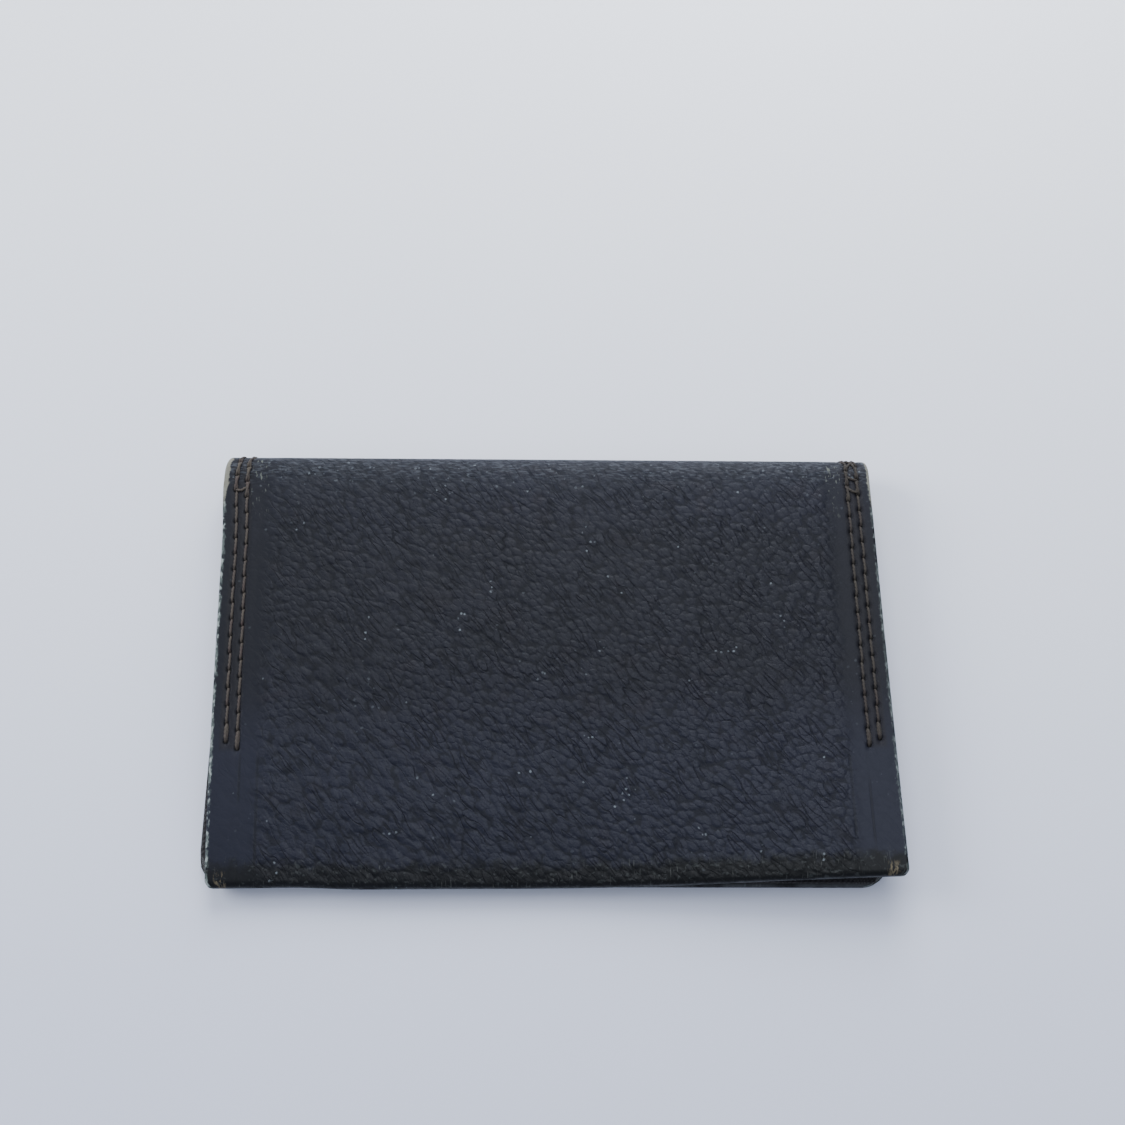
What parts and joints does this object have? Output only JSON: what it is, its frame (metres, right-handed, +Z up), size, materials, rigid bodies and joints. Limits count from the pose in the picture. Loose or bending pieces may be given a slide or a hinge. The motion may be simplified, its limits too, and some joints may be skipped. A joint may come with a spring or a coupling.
{
  "type": "card holder",
  "caption": "Bifold leather card holder, folded shut: an outer leather sheet over lined slip pockets, its turned opening edge in front and its sides sewn from the spine to the pocket mouths.",
  "frame": {"origin": "middle of the closed holder's footprint, on the surface it lies on", "axes": "+X along the spine, +Y from the opening edge to the spine, +Z up from the rear cover to the front cover"},
  "size_m": [0.105, 0.071, 0.008],
  "materials": {
    "outer_leather": "worn pebbled black leather, pressed smooth along the sewn sides",
    "inner_leather": "smooth black leather with a fine grain",
    "lining": "taupe plain-weave cloth",
    "thread": "taupe twisted thread"
  },
  "bodies": {
    "rear": {"rear_cover_leather": "outer_leather", "rear_lining": "lining", "rear_pocket_panel": "inner_leather", "rear_stitches_left_outer": "thread", "rear_stitches_left_inner": "thread", "rear_stitches_right_outer": "thread", "rear_stitches_right_inner": "thread"},
    "spine": {"spine_cover_leather": "outer_leather", "spine_lining": "lining", "spine_pocket_panel": "inner_leather", "spine_stitches_left_outer": "thread", "spine_stitches_left_inner": "thread", "spine_stitches_right_outer": "thread", "spine_stitches_right_inner": "thread"},
    "front": {"front_cover_leather": "outer_leather", "front_lining": "lining", "front_pocket_panel": "inner_leather", "front_stitches_left_outer": "thread", "front_stitches_left_inner": "thread", "front_stitches_right_outer": "thread", "front_stitches_right_inner": "thread"}
  },
  "joints": [
    {"name": "spine_fold", "type": "hinge", "parent": "rear", "child": "spine", "pos_m": [0, 0.03433, 0.00117], "axis": [-1, 0, 0], "range_deg": [0, 90]},
    {"name": "cover_fold", "type": "hinge", "parent": "spine", "child": "front", "pos_m": [0, 0.03433, 0.00683], "axis": [-1, 0, 0], "range_deg": [0, 90]}
  ],
  "couplings": [
    {"joint": "cover_fold", "follows": "spine_fold", "ratio": 1}
  ]
}
